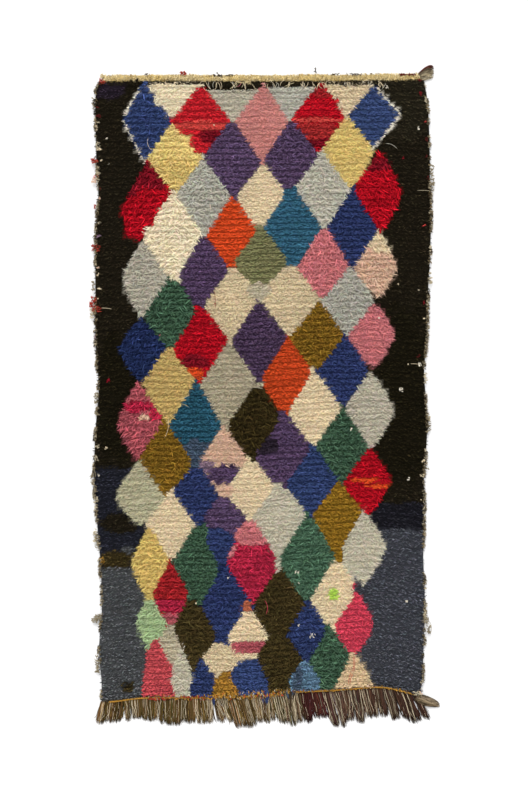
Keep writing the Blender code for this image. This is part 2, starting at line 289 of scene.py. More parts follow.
# Single ends of another wool that show in the pile: x, y, radius, wool.
SPECKS = (
    (46.3, 2.8, 0.9, "white"), (52.7, 11.3, 0.8, "white"), (48.7, 11.1, 0.3, "cream"),
    (52.2, 90.0, 0.6, "white"), (41.7, 103.7, 0.5, "white"), (48.7, -26.9, 0.6, "white"),
    (11.6, -58.0, 0.9, "white"), (12.3, -61.7, 0.4, "white"), (16.8, -79.0, 1.1, "white"),
    (48.1, -67.9, 0.5, "white"), (12.2, -75.7, 0.4, "white"), (-51.2, 78.0, 0.3, "white"),
    (-51.7, 86.5, 0.3, "white"), (-51.8, -16.7, 0.6, "cream"), (-54.4, -25.7, 0.5, "white"),
    (-11.2, -60.0, 0.5, "white"), (-26.5, -82.3, 0.9, "white"), (-21.9, -68.3, 0.5, "cream"),
    (29.9, -10.5, 0.6, "white"), (47.0, 80.0, 0.5, "red_dark"), (52.7, 101.3, 0.7, "red_dark"),
    (-15.7, 31.3, 0.4, "red_dark"), (-34.0, 21.0, 0.4, "rose"), (-51.3, 5.7, 0.8, "red_dark"),
    (39.0, 26.7, 0.4, "white"), (45.3, 38.0, 0.4, "cream"), (52.2, 36.0, 0.3, "beige"),
    (17.0, 97.0, 0.5, "brick"), (-16.0, 91.0, 0.3, "peach"), (-8.0, 60.0, 0.3, "brick"),
)

# The blue lozenges at the far end have a single line of pale knots against the black.
# For a lozenge: the side, -1 for the left, the share of its reach up that the line starts at, and how
# wide the line is as a share of the reach.
OUTLINED = {4: (-1, 0.8, 0.12), 8: (1, 0.95, 0.13)}
OUTLINE_FRAY = 0.25
OUTLINE_PAST_MIDDLE = 0.15  # how far the line goes round the lozenge's end, as a share of its reach

# ------------------------------ the edges

# Clumps of fringe, from the left: where the root ends, and the tip's left, right and y.
FRINGE_START = -53.7
FRINGE = (
    (-51.0, -55.7, -52.7, -109.1), (-48.7, -52.5, -50.3, -108.8), (-46.0, -49.5, -47.0, -108.7),
    (-43.7, -46.0, -44.0, -108.3), (-40.7, -42.8, -40.0, -107.9), (-34.7, -39.5, -35.5, -108.3),
    (-32.0, -34.3, -32.3, -109.2), (-27.0, -32.0, -27.0, -109.7), (-22.3, -26.7, -22.3, -109.1),
    (-16.7, -20.6, -16.9, -109.3), (-12.0, -15.2, -9.0, -108.7), (-8.0, -8.2, -5.3, -110.8),
    (-4.0, -4.8, -1.8, -110.5), (3.3, -1.3, 4.3, -108.8), (7.3, 5.7, 9.3, -109.3),
    (10.7, 9.7, 12.2, -110.0), (15.3, 12.5, 17.5, -108.9), (20.0, 17.8, 22.3, -107.3),
    (25.7, 24.7, 27.8, -110.3), (29.3, 28.2, 30.3, -108.3), (32.7, 32.0, 34.2, -109.0),
    (37.3, 34.7, 39.3, -107.2), (40.0, 39.8, 42.3, -106.8), (44.7, 43.0, 48.3, -108.1),
    (49.3, 48.0, 54.0, -108.9), (51.3, 53.9, 57.0, -107.7),
)
# The warp's yarns from the left: where they start, the commonest colour and the share of pale ends.
WARP = (
    (-60.0, (0.096, 0.059, 0.020), 0.10),
    (-20.0, (0.103, 0.061, 0.022), 0.15),
    (0.0, (0.122, 0.085, 0.037), 0.17),
    (7.0, (0.095, 0.067, 0.036), 0.12),
    (12.5, (0.055, 0.017, 0.0145), 0.03),
    (21.0, (0.072, 0.040, 0.027), 0.09),
    (43.0, (0.044, 0.022, 0.015), 0.03),
)
PALE_WARP = (0.59, 0.50, 0.35)

# Yarns that are only in the trimmings.
TRIMS = {
    "khaki": (0.30, 0.25, 0.16),
    "beige": (0.56, 0.48, 0.33),
    "rust": (0.40, 0.050, 0.032),
    "maroon": (0.130, 0.018, 0.016),
    "bark": (0.060, 0.042, 0.028),
    "golden": (0.50, 0.26, 0.045),
    "umber": (0.17, 0.125, 0.07),
    "drab": (0.27, 0.21, 0.14),
    "oat": (0.66, 0.53, 0.28),
    "oat_pale": (0.92, 0.79, 0.49),
    "oat_dark": (0.32, 0.235, 0.12),
}

# Bits of yarn that stick out at the edges: middle x and y, half width and height, yarn, how many.
BITS = (
    (-54.8, 96.8, 0.7, 0.6, "maroon", 5), (-54.5, 94.0, 1.0, 0.8, "maroon", 8),
    (-54.5, 92.1, 0.8, 0.5, "beige", 5), (-55.1, 89.9, 0.6, 1.2, "cream", 6),
    (-54.2, 83.0, 0.9, 0.7, "cream", 7), (-55.9, 79.1, 1.4, 1.0, "rust", 22),
    (-53.6, 79.1, 0.5, 0.4, "cream", 4), (-55.3, 73.8, 1.0, 0.6, "salmon", 7),
    (-56.1, 72.6, 1.2, 1.0, "peach", 12), (-54.0, 70.0, 0.5, 0.8, "maroon", 4),
    (-54.2, 66.6, 0.6, 0.5, "peach", 4), (-55.8, 63.8, 0.5, 0.9, "rust", 7),
    (-54.0, 58.5, 0.8, 0.4, "beige", 4), (-54.5, 54.0, 1.0, 0.5, "mauve", 6),
    (-55.3, 50.0, 1.9, 1.5, "rust", 28), (-54.7, 43.7, 0.6, 0.7, "peach", 6),
    (-54.7, 41.2, 0.5, 0.6, "cream", 5), (-54.2, 36.3, 0.9, 0.4, "cream", 5),
    (-56.0, 32.7, 1.2, 1.4, "rust", 18), (-55.0, 29.7, 1.9, 1.3, "rust", 30),
    (-54.6, 33.0, 0.4, 0.4, "cream", 4), (-55.8, 20.2, 0.6, 0.8, "mauve", 5),
    (-54.8, -5.4, 0.9, 0.5, "khaki", 5), (-54.9, -16.2, 0.7, 0.7, "beige", 6),
    (-55.1, -20.0, 0.8, 1.2, "beige", 9), (-56.0, -25.6, 1.1, 1.0, "khaki", 9),
    (-55.7, -30.3, 0.9, 1.3, "khaki", 9), (-53.2, -53.7, 0.9, 1.3, "ochre", 9),
    (-54.7, -72.9, 1.3, 0.9, "khaki", 20), (-55.8, -74.2, 1.1, 1.0, "khaki", 20),
    (-53.2, 105.5, 1.2, 0.9, "rust", 18), (-53.4, 107.3, 0.7, 0.8, "oat", 14),
    (-38.6, 107.9, 0.7, 0.4, "bark", 6), (-43.7, 105.2, 0.7, 0.9, "black", 12),
    (-41.8, 105.6, 0.7, 1.0, "black", 16), (52.6, 106.0, 0.8, 0.7, "maroon", 9),
    (-26.3, 108.3, 1.2, 0.6, "rust", 16), (-15.0, 108.4, 0.4, 0.5, "bark", 4),
    (-12.5, 107.5, 5.5, 0.15, "bark", 14), (17.7, 109.2, 0.3, 0.9, "bark", 6),
    (36.3, 108.2, 0.4, 0.4, "bark", 4), (48.5, 107.8, 3.5, 0.3, "maroon", 16),
    (27.0, 107.9, 9.0, 0.1, "bark", 14), (53.2, 101.7, 0.7, 0.6, "maroon", 6),
    (54.5, 99.5, 0.5, 1.2, "beige", 7), (54.4, 92.1, 0.4, 0.3, "salmon", 3),
    (54.9, 86.3, 0.4, 0.9, "maroon", 4), (54.9, 80.8, 0.4, 0.8, "maroon", 4),
    (55.4, 73.3, 0.7, 0.7, "maroon", 5), (56.5, 71.0, 1.2, 2.6, "khaki", 26),
    (56.0, 62.0, 0.7, 0.7, "beige", 7), (54.0, 57.6, 0.8, 0.5, "salmon", 5),
    (56.1, 49.8, 0.4, 1.5, "beige", 7), (54.1, 31.8, 0.4, 0.8, "red_dark", 4),
    (56.0, 41.5, 0.5, 0.6, "beige", 5), (54.1, 26.5, 0.7, 0.3, "cream", 4),
    (52.1, 14.1, 0.8, 0.6, "maroon", 5), (56.0, -6.6, 0.5, 0.7, "beige", 6),
    (54.4, -17.4, 0.6, 0.7, "beige", 6), (53.6, -21.0, 0.6, 0.8, "cream", 7),
    (55.1, -23.6, 0.7, 0.5, "khaki", 6), (53.3, -26.0, 0.8, 0.8, "cream", 8),
    (53.0, -34.0, 0.3, 0.3, "cream", 3), (54.1, -37.0, 0.5, 0.9, "beige", 6),
    (54.6, -74.2, 1.2, 1.4, "khaki", 20), (55.6, -77.0, 0.8, 1.8, "khaki", 18),
    (51.8, -98.4, 1.6, 0.8, "beige", 14), (53.0, -98.2, 0.8, 0.6, "peach", 5),
    (-56.4, 37.5, 0.7, 2.6, "khaki", 16), (-56.7, 28.0, 0.8, 2.6, "beige", 14),
    (-56.9, 31.0, 0.9, 1.3, "rust", 16), (-55.0, -47.5, 0.8, 3.0, "khaki", 26),
    (-55.9, 97.0, 0.8, 3.6, "black", 22), (-56.1, 97.5, 0.7, 3.4, "khaki", 10),
    (55.0, -9.3, 0.6, 4.4, "black", 24), (55.5, -9.0, 0.7, 4.0, "khaki", 16),
    (-56.3, -27.5, 0.9, 2.6, "khaki", 18), (-55.3, -35.5, 0.7, 3.2, "beige", 20),
    (54.2, -71.3, 0.6, 2.8, "beige", 14), (56.5, 75.3, 0.8, 3.4, "khaki", 20),
    (33.3, -27.3, 4.6, 0.4, "orange", 40), (39.0, -29.4, 3.9, 0.35, "orange", 32),
    (-5.8, 105.1, 3.4, 0.6, "oat", 26), (-30.0, 104.6, 7.0, 0.5, "cream", 22),
    (-55.6, -45.8, 0.7, 3.0, "beige", 16), (-55.3, -0.3, 0.8, 3.0, "khaki", 20),
    (56.1, 39.7, 0.6, 2.6, "beige", 14), (-54.7, 74.5, 0.7, 3.6, "beige", 22),
    (-54.8, 84.3, 0.7, 2.6, "beige", 16), (54.5, 6.5, 0.6, 3.0, "beige", 14),
    (-54.9, -88.5, 0.6, 4.5, "khaki", 28), (-35.0, -100.3, 4.0, 0.4, "rust", 22),
    (-24.0, -99.6, 5.0, 0.3, "rust", 12),
)

# Single threads that wander: both ends' x and y, how far the middle is aside, and the yarn.
THREADS = (
    (-37.8, 87.0, -35.8, 82.0, -1.2, "cream"), (-31.3, -6.3, -32.6, -13.6, 0.7, "cream"),
    (-28.2, -2.0, -24.2, -3.2, 0.5, "straw"), (-27.3, -0.2, -24.0, 1.4, -0.4, "cream"),
    (30.3, -86.0, 29.9, -91.3, 0.5, "salmon"), (29.9, -91.3, 29.0, -95.6, -0.5, "salmon"),
    (30.7, -85.5, 30.4, -91.8, 0.4, "coral"), (30.4, -91.8, 29.5, -95.0, -0.4, "salmon"),
    (0.8, -67.2, 1.1, -72.4, 0.9, "raspberry"), (41.0, 84.8, 45.2, 82.8, 0.6, "ice_pale"),
    (51.4, 69.1, 56.2, 69.0, 0.1, "beige"), (49.4, 11.4, 52.2, 11.2, 0.1, "cream"),
    (-53.7, 30.0, -49.8, 29.6, 0.1, "cream"), (-15.9, 36.0, -15.6, 29.5, 0.2, "red_dark"),
    (21.0, 104.0, 23.0, 106.0, 0.6, "cream"), (33.0, 104.2, 36.0, 105.6, 0.8, "cream"),
    (38.4, 105.6, 40.2, 103.0, 0.7, "cream"), (-8.7, 103.6, -6.8, 105.4, -0.5, "rose"),
    (6.0, 103.8, 7.5, 106.0, 0.4, "cream"), (14.0, 103.2, 15.4, 105.4, -0.4, "cream"),
    (52.7, -74.0, 56.4, -78.3, 1.4, "beige"), (53.0, -73.0, 56.0, -78.6, 1.8, "khaki"),
)
TOP_LOOPS = 74  # more threads, over the dark row by the binding

# Pile that hangs over the fringe: middle x, half width, from y to y, wool, how many.
HANGING = (
    (-16.2, 0.6, -99.4, -103.0, "blue_deep", 7),
    (1.1, 1.3, -97.4, -102.4, "royal", 16),
    (9.7, 2.0, -97.2, -101.0, "bark", 16),
    (9.4, 2.0, -97.2, -100.6, "teal_grey", 12),
)
# Ends that stick out of the cord: from x to x, how many, how long in centimetres.
CORD_TUFTS = ((-38.0, -16.0, 90, 1.1), (-16.0, 9.5, 250, 1.5), (9.5, 50.0, 110, 0.6))

# The bundles at the right-hand corners, along x: x, middle y, half width and height.
TOP_TUFT = (
    (51.5, 106.9, 0.9, 1.2), (53.0, 107.6, 1.7, 1.5), (54.2, 108.1, 2.3, 1.7), (55.4, 108.6, 2.5, 1.8),
    (56.5, 108.9, 2.5, 1.7), (57.2, 109.0, 2.1, 1.3), (57.6, 109.0, 1.2, 0.8),
)
BOTTOM_TUFT = (
    (50.8, -100.0, 1.0, 1.7), (52.3, -100.4, 1.5, 1.9), (54.0, -100.8, 1.9, 2.0),
    (55.6, -101.3, 1.8, 1.9), (57.4, -101.8, 1.4, 1.6), (58.8, -102.3, 1.0, 1.3),
    (59.6, -102.6, 0.8, 0.9),
)


def cloth_edges():
    """The near, right, far and left edges of the cloth as (x, y) rows in rising order, read from its
    widest ring."""
    points = np.array([vert.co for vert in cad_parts["rug_cloth"].data.vertices])
    heights = np.unique(points[:, 2].round(4))
    ring = np.unique(points[np.abs(points[:, 2] - heights[1]) < 0.1 * MM, :2].round(6), axis=0)
    ring = ring[np.argsort(np.arctan2(ring[:, 1], ring[:, 0]))]
    start = np.argmax(ring @ (-2, -1))
    ring = np.roll(ring, -start, axis=0)
    right_near, right_far, left_far = (np.argmax(ring @ way) for way in ((2, -1), (2, 1), (-2, 1)))
    near = ring[: right_near + 1]
    right = ring[right_near : right_far + 1]
    far = ring[right_far : left_far + 1][::-1]
    left = np.vstack((ring[left_far:], ring[:1]))[::-1]
    return near, right, far, left


near_edge, right_edge, far_edge, left_edge = cloth_edges()


def near_y(x):
    return np.interp(x, near_edge[:, 0], near_edge[:, 1])


def far_y(x):
    return np.interp(x, far_edge[:, 0], far_edge[:, 1])


def left_x(y):
    return np.interp(y, left_edge[:, 1], left_edge[:, 0])


def right_x(y):
    return np.interp(y, right_edge[:, 1], right_edge[:, 0])


def on_cloth(across, along, inset, past):
    """x and y of points given as shares of the cloth's width and length, from an inset at its near
    edge and sides to a little past its far edge, under the binding."""
    x = (across - 0.5) * (right_edge[:, 0].mean() - left_edge[:, 0].mean())
    for _ in range(2):
        y = near_y(x) + inset + along * (far_y(x) + past - near_y(x) - inset)
        x = left_x(y) + inset + across * (right_x(y) - left_x(y) - 2 * inset)
    return x, y


def smooth_noise(x, y, size, seed):
    """Noise from -1 to 1 that changes smoothly over about a size, which is one number or (x, y)."""
    across, along = (size, size) if np.isscalar(size) else size
    u, v = (x + 7.0) / across, (y + 7.0) / along
    grid = np.random.default_rng(seed).uniform(-1, 1, (int(v.max()) + 3, int(u.max()) + 3))
    i, j = np.floor(u).astype(int), np.floor(v).astype(int)
    a, b = u - i, v - j
    a, b = a * a * (3 - 2 * a), b * b * (3 - 2 * b)
    low = grid[j, i] * (1 - a) + grid[j, i + 1] * a
    high = grid[j + 1, i] * (1 - a) + grid[j + 1, i + 1] * a
    return low * (1 - b) + high * b


def line_noise(x, size, seed):
    return smooth_noise(x, 0 * x, size, seed)


# ------------------------------ the pattern


def nearest_lozenge(x, y):
    """Each point's lozenge, and the shares of its reach across and along that the point is at."""
    best = np.full(x.shape, 9.0)
    index = np.zeros(x.shape, int)
    shares = np.zeros((2, *x.shape))
    for number, (mid_x, mid_y, left, right, up, down, _, _) in enumerate(LOZENGES):
        dx, dy = x / CM - mid_x, y / CM - mid_y
        if number in LEANS:
            rise, shift = LEANS[number]
            dx, dy = dx - shift * dy, dy - rise * dx
        across = np.where(dx > 0, dx / right, dx / left)
        along = np.where(dy > 0, dy / up, dy / down)
        far_out = np.abs(across) + np.abs(along)
        closer = far_out < best
        best = np.where(closer, far_out, best)
        index = np.where(closer, number, index)
        shares = np.where(closer, (across, along), shares)
    return index, shares


def in_border(x, y, far_out):
    """Whether points that are so far out of their lozenge, as a share of its reach, are in the border."""
    left, right = (
        np.where(y > turn * CM, above * CM, below * CM) for above, turn, below in (FIELD_LEFT, FIELD_RIGHT)
    )
    return (far_out > 1.0) & ((x < left) | (x > right))


def wool_at(x, y):
    """The wool that shows at each point, its shag, the share of the lozenge's reach across, and
    whether the point is in the border."""
    number = WOOL_NAMES.index
    index, shares = nearest_lozenge(x, y)
    roundness = np.where(np.isin(index, list(OUTLINED)), OUTLINED_ROUNDNESS, ROUNDNESS)
    far_out = (np.abs(shares) ** roundness).sum(axis=0)
    shown = np.array([number(row[6]) for row in LOZENGES])[index]
    shag = np.array([row[7] for row in LOZENGES])[index]
    border = in_border(x, y, far_out)
    shag[border] = BORDER_SHAG
    for on_left, on_right, from_left, from_right in BORDER:
        below = y < np.where(x < 0, from_left, from_right) * CM
        shown = np.where(border & below, np.where(x < 0, number(on_left), number(on_right)), shown)
    for name, start in TOP_ROWS.items():
        shown[(shown == number(name)) & (y > start * CM)] = number("black")
    fray = smooth_noise(x, y, FRAY_SIZE, seed=8)
    for mid_x, mid_y, half_width, half_height, old, new in ACCENTS:
        across, along = (x / CM - mid_x) / half_width, (y / CM - mid_y) / half_height
        accent_out = np.abs(across) ** ACCENT_POWER + np.abs(along) ** ACCENT_POWER
        shown[(accent_out + ACCENT_FRAY * fray < 1) & (shown == number(old))] = number(new)
    for lozenge, (side, top, width) in OUTLINED.items():
        near = (index == lozenge) & (shares[0] * side > -OUTLINE_PAST_MIDDLE) & (shares[1] < top)
        shown[border & near & (far_out < 1 + width * (1 + OUTLINE_FRAY * fray))] = number("white")
    return shown, shag, np.where(border, np.sign(x), shares[0]), border


# ------------------------------ strand meshes


def yarn_colour(name):
    return np.array(TRIMS[name]) if name in TRIMS else WOOL_COLOURS[WOOL_NAMES.index(name)]


def mixed_yarns(mix, count, low, high):
    """Colours for strands of a mix of yarns, given as the share of each, between two tones."""
    names = rng.choice(list(mix), count, p=list(mix.values()))
    return np.array([yarn_colour(name) for name in names]) * rng.uniform(low, high, (count, 1))


def unit(vectors):
    """The vectors at a length of 1."""
    return vectors / np.maximum(np.linalg.norm(vectors, axis=-1, keepdims=True), 1e-9)


def spindles(paths, radii, sides=3, flatness=0.75):
    """Closed tubes along paths (strand, point, xyz), each from a point to a point. Gives the
    vertices, the triangles and quads of one strand, and those faces' places on a unit square."""
    count, points, _ = paths.shape
    tangent = unit(paths[:, 2:] - paths[:, :-2])
    heading = unit((paths[:, -1] - paths[:, 0]) * (1, 1, 0))[:, None]
    level = unit(tangent * (1, 1, 0) + 0.3 * heading)
    side = np.stack((level[..., 1], -level[..., 0], np.zeros(level.shape[:2])), axis=-1)
    normal = np.cross(side, tangent)
    angles = math.tau * np.arange(sides) / sides + math.pi / 2
    level_part = np.cos(angles)[:, None] * side[:, :, None]
    upright_part = flatness * np.sin(angles)[:, None] * normal[:, :, None]
    rings = paths[:, 1:-1, None] + radii[:, 1:-1, None, None] * (level_part + upright_part)
    verts = np.concatenate((paths[:, :1], rings.reshape(count, -1, 3), paths[:, -1:]), axis=1)

    last = 1 + sides * (points - 2)
    triangles, quads, triangle_uv, quad_uv = [], [], [], []
    for j in range(sides):
        k = (j + 1) % sides
        left, middle, right = j / sides, (j + 0.5) / sides, (j + 1) / sides
        first, end = 1 / (points - 1), 1 - 1 / (points - 1)
        triangles.append((0, 1 + k, 1 + j))
        triangle_uv.append(((middle, 0), (right, first), (left, first)))
        for ring in range(points - 3):
            low, high = 1 + ring * sides, 1 + (ring + 1) * sides
            v, w = (ring + 1) / (points - 1), (ring + 2) / (points - 1)
            quads.append((low + j, low + k, high + k, high + j))
            quad_uv.append(((left, v), (right, v), (right, w), (left, w)))
        triangles.append((last, last - sides + j, last - sides + k))
        triangle_uv.append(((middle, 1), (left, end), (right, end)))
    return verts, np.array(triangles), np.array(quads).reshape(-1, 4), triangle_uv, quad_uv


def strand_mesh(name, batches, sides=3, flatness=0.75):
    """One mesh of batches of strands. A batch is (paths, radii, colours), its colours given for each
    strand or for each point. Each strand has its own cell in the bake's map."""
    batches = [batch for batch in batches if len(batch[0])]
    total = sum(len(paths) for paths, _, _ in batches)
    cells = math.ceil(math.sqrt(total))
    verts, colours, corners, lengths, places = [], [], [], [], []
    vert_count = strand_count = 0
    for paths, radii, tints in batches:
        count, points, _ = paths.shape
        mesh_verts, triangles, quads, triangle_uv, quad_uv = spindles(paths, radii, sides, flatness)
        if tints.ndim == 2:
            tints = np.repeat(tints[:, None], points, axis=1)
        ring_tints = np.repeat(tints[:, 1:-1], sides, axis=1)
        colours.append(np.concatenate((tints[:, :1], ring_tints, tints[:, -1:]), axis=1).reshape(-1, 3))
        verts.append(mesh_verts.reshape(-1, 3))
        base = vert_count + np.arange(count)[:, None, None] * mesh_verts.shape[1]
        number = strand_count + np.arange(count)
        cell = np.stack((number % cells, number // cells), axis=-1)[:, None, None]
        for faces, uv in ((triangles, triangle_uv), (quads, quad_uv)):
            if len(faces):
                corners.append((base + faces).reshape(-1))
                lengths.append(np.full(count * len(faces), faces.shape[1]))
                places.append(((cell + 0.06 + 0.88 * np.array(uv)) / cells).reshape(-1, 2))
        vert_count += count * mesh_verts.shape[1]
        strand_count += count
    return mesh_from_arrays(name, *(np.concatenate(v) for v in (verts, corners, lengths, colours, places)))


def short_strands(x, y, z, degrees, length, colours, thick=1.5 * MM, droop=0.5 * MM):
    """Short bent strands with their middles at (x, y, z), lying at an angle from -Y."""
    angle = np.radians(degrees)
    share = np.array((-0.5, -0.15, 0.2, 0.5))
    run = length[:, None] * share
    bend = rng.normal(0, 0.12, len(x))[:, None] * length[:, None] * (1 - (2 * share) ** 2)
    sine, cosine = np.sin(angle)[:, None], np.cos(angle)[:, None]
    rise = z[:, None] - 4 * droop * (2 * share) ** 2
    across = x[:, None] + run * sine + bend * cosine
    along = y[:, None] - run * cosine + bend * sine
    paths = np.stack((across, along, rise), -1)
    radii = np.repeat(rng.uniform(0.7, 1.1, (len(x), 1)) * thick, len(share), axis=1)
    return paths, radii, colours


def mesh_from_arrays(name, verts, corners, lengths, colours, places=None):
    """A mesh of faces given as their corners in a row and each face's number of corners."""
    mesh = bpy.data.meshes.new(name)
    mesh.vertices.add(len(verts))
    mesh.vertices.foreach_set("co", verts.astype(np.float32).ravel())
    mesh.loops.add(len(corners))
    mesh.loops.foreach_set("vertex_index", corners.astype(np.int32))
    mesh.polygons.add(len(lengths))
    starts = np.concatenate(((0,), np.cumsum(lengths)[:-1]))
    mesh.polygons.foreach_set("loop_start", starts.astype(np.int32))
    mesh.update(calc_edges=True)
    mesh.shade_smooth()
    tint = mesh.color_attributes.new("yarn", "FLOAT_COLOR", "POINT")
    opaque = np.column_stack((colours, np.ones(len(colours))))
    tint.data.foreach_set("color", opaque.astype(np.float32).ravel())
    if places is not None:
        layer = mesh.uv_layers.new(name="OFBake")
        layer.uv.foreach_set("vector", places.astype(np.float32).ravel())
    return mesh


def add_object(name, data):
    obj = bpy.data.objects.new(name, data)
    bpy.context.scene.collection.objects.link(obj)
    return obj


def place(name, mesh, material):
    """Adds the mesh as a piece of the rug's only body."""
    obj = add_object(name, mesh)
    mesh.materials.append(material)
    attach(obj, "root")
    return obj


# ------------------------------ materials


def add_nodes(tree, kinds, settings, links):
    """Adds nodes by name and kind, sets their properties and inputs, and links outputs to inputs."""
    nodes = {name: tree.nodes.new("ShaderNode" + kind) for name, kind in kinds.items()}
    nodes["shader"] = tree.nodes["Principled BSDF"]
    for name, values in settings.items():
        for key, value in values.items():
            if hasattr(nodes[name], key):
                setattr(nodes[name], key, value)
            else:
                nodes[name].inputs[key].default_value = value
    for name, output, target, socket in links:
        tree.links.new(nodes[name].outputs[output], nodes[target].inputs[socket])


def wool(name, grain=900.0, mottle=0.3):
    """Matt, hairy wool: the strand's own colour, mottled along its length by its fibres."""
    material = bpy.data.materials.new(name)
    material.use_nodes = True
    kinds = {
        "yarn": "Attribute", "place": "TexCoord", "fibre": "TexNoise", "range": "MapRange",
        "tint": "VectorMath", "rough": "MapRange", "bump": "Bump",
    }
    settings = {
        "yarn": {"attribute_name": "yarn"},
        "fibre": {"Scale": grain, "Detail": 3.0},
        "range": {"From Min": 0.3, "From Max": 0.7, "To Min": 1 - mottle, "To Max": 1 + mottle},
        "tint": {"operation": "SCALE"},
        "rough": {"To Min": 0.8, "To Max": 1.0},
        "bump": {"Strength": 0.3, "Distance": 1 * MM},
        "shader": {"Specular IOR Level": 0.05},
    }
    links = (
        ("place", "Object", "fibre", "Vector"), ("fibre", "Fac", "range", "Value"),
        ("fibre", "Fac", "rough", "Value"), ("fibre", "Fac", "bump", "Height"),
        ("yarn", "Color", "tint", 0), ("range", "Result", "tint", "Scale"),
        ("tint", "Vector", "shader", "Base Color"), ("rough", "Result", "shader", "Roughness"),
        ("bump", "Normal", "shader", "Normal"),
    )
    add_nodes(material.node_tree, kinds, settings, links)
    return material


# ------------------------------ the pile


def knots():
    """The x and y of every knot, row by row. Each row hangs ROW_PITCH below its knots."""
    rows = round((far_edge[:, 1].mean() - near_edge[:, 1].mean()) / ROW_PITCH)
    columns = round((right_edge[:, 0].mean() - left_edge[:, 0].mean()) / KNOT_PITCH)
    across, along = np.meshgrid((np.arange(columns) + 0.5) / columns, (np.arange(rows) + 0.95) / rows)
    # Every other row is shifted by half a knot, and the rows are beaten down unevenly.
    across = across + 0.25 / columns * (-1) ** np.arange(rows)[:, None]
    x, y = on_cloth(across.ravel(), along.ravel(), inset=2.5 * MM, past=6 * MM)
    y = y + 3 * MM * smooth_noise(x, y, (0.05, 0.05), seed=1)
    y = y + 3.5 * MM * smooth_noise(x, y, (0.2, 0.07), seed=7)
    return x, y


# A strand's points: how far along it they are, and their height as a share of the row's there.
BLADE = ((0, 0.5, 1), (0.2, 1.0, 0.8))
TUFT = ((0, 0.3, 0.7, 1), (0.0, 0.95, 1.0, 0.75))
LOCK = ((0, 0.25, 0.7, 1), (0.0, 1.0, 1.15, 0.75))
# A row's height, and its painted shade, from its knots to its tips: the shade is darkest where rows meet.
ROW_SECTION = ((0, 0.2, 0.55, 0.85, 1), (0.1, 0.75, 1.0, 0.9, 0.3))
ROW_PAINTED_SHADE = ((0, 0.13, 0.8, 0.92, 1), (0.7, 1.0, 1.0, 0.55, 0.45))
ROW_GAP = 0.06  # the share of a row that is bare at each side

# The strands tied at each knot: how many, profile, length, lift, the shags that have them, and
# whether the border has them too.
STRANDS = (
    (3, BLADE, 14 * MM, 1.0, (0.0, 1.0), True),
    (1, BLADE, 14 * MM, 1.0, (0.0, 1.0), False),
    (1, BLADE, 14 * MM, 1.0, (0.0, 0.65), False),
    (1, TUFT, 17 * MM, 1.05, (0.0, 0.45), False),
    (1, LOCK, 21 * MM, 1.15, (0.45, 1.0), False),
    (1, LOCK, 25 * MM, 1.3, (0.65, 1.0), False),
)


def pile_strands(x, y, profile, length, lift, shags, border_too):
    """A strand from each knot that has one: (paths, radii, colours), and its wool. A strand rises
    and lies over to one side, and shows the wool that the chart has at its middle."""
    share, height = np.array(profile)
    count = len(x)
    down = rng.uniform(ROW_GAP, 1 - ROW_GAP, count)
    x = x + rng.uniform(-0.6, 0.6, count) * KNOT_PITCH
    shown_y = y - (0.25 + 0.5 * down) * ROW_PITCH
    wool_index, shag, fan, border = wool_at(x, shown_y)
    drift = 0.4 * smooth_noise(x, y, 0.05, seed=3) + shag * (0.7 * fan + 1.2 * (x / 0.45) ** 3)
    side = np.where(rng.uniform(-1, 1, count) < drift, 1, -1)
    angle = side * np.radians(78 - 32 * shag + (16 + 20 * shag) * rng.normal(0, 1, count))
    reach = length * (1 + (0.15 + 0.35 * shag) * rng.uniform(-1, 1, count))
    curl = (0.15 + shag) * rng.normal(0, 3 * MM, count)
    sine, cosine = np.sin(angle)[:, None], np.cos(angle)[:, None]
    uneven = 0.12 * smooth_noise(x, y, 0.06, seed=4) + (0.08 + 0.25 * shag) * rng.uniform(-1, 1, count)
    rise = PILE_RISE * np.interp(down, *ROW_SECTION) * lift * (1 + uneven)
    run = reach[:, None] * (share - 0.5)
    aside = curl[:, None] * share**2
    along = (y - down * ROW_PITCH)[:, None] - run * cosine + aside * sine
    across = x[:, None] + run * sine + aside * cosine
    paths = np.stack((across, along, GROUND_TOP + rise[:, None] * height), -1)
    radii = rng.uniform(1.2, 2.0, count)[:, None] * MM * np.ones(len(share))
    contrast = np.where(border, 1.1, 0.5 + 0.6 * shag)
    # Painted shade where the rows meet, which shows less where the pile is shaggy.
    tone = np.interp(down, *ROW_PAINTED_SHADE) ** (1.1 - 0.7 * shag)
    colours = strand_colours(wool_index, x, y, share, tone, contrast)
    kept = (shag >= shags[0]) & (shag < shags[1]) & (border_too | ~border)
    return (paths[kept], radii[kept], colours[kept]), wool_index[kept]


def strand_colours(wool_index, x, y, share, tone, contrast):
    """Each strand's own tone of its wool, with painted shade at its foot and where its rows meet.
    Dark wools vary more, and the painted row shade is faint on pale ones."""
    count = len(x)
    colour = WOOL_COLOURS[wool_index]
    lightness = colour.mean(axis=1)
    spread = contrast * np.interp(lightness, (0.0, 0.1, 0.5), (0.42, 0.38, 0.09))
    # The painted row shade is deep on dark wools and faint on pale ones.
    tone = tone ** np.interp(lightness, (0.0, 0.5), (1.3, 0.3))
    drift = 0.1 * smooth_noise(x, y, (0.06, 0.02), seed=5)
    tone = tone * np.exp(spread * rng.normal(0, 1, count) + drift)
    hue = 1 + 0.04 * rng.normal(0, 1, (count, 3))
    # Painted shade: each strand darker at its foot, down in the pile, and a little brighter at its tip.
    foot_shade = np.interp(share, (0, 0.4, 1), (0.8, 1.0, 1.05))
    return (colour * tone[:, None] * hue)[:, None] * foot_shade[:, None]


def make_pile():
    x, y = knots()
    laid = [pile_strands(x, y, *row) for times, *row in STRANDS for _ in range(times)]
    pieces = []
    for family, wools in WOOLS.items():
        batches = []
        for strands, wool_index in laid:
            mine = np.isin(wool_index, [WOOL_NAMES.index(name) for name in wools])
            batches.append([values[mine] for values in strands])
        mesh = strand_mesh("pile_" + family, batches)
        pieces.append(place("pile_" + family, mesh, wool("wool_" + family)))
    return pieces


# ------------------------------ the ground

GROUND_CELLS = (64, 144)


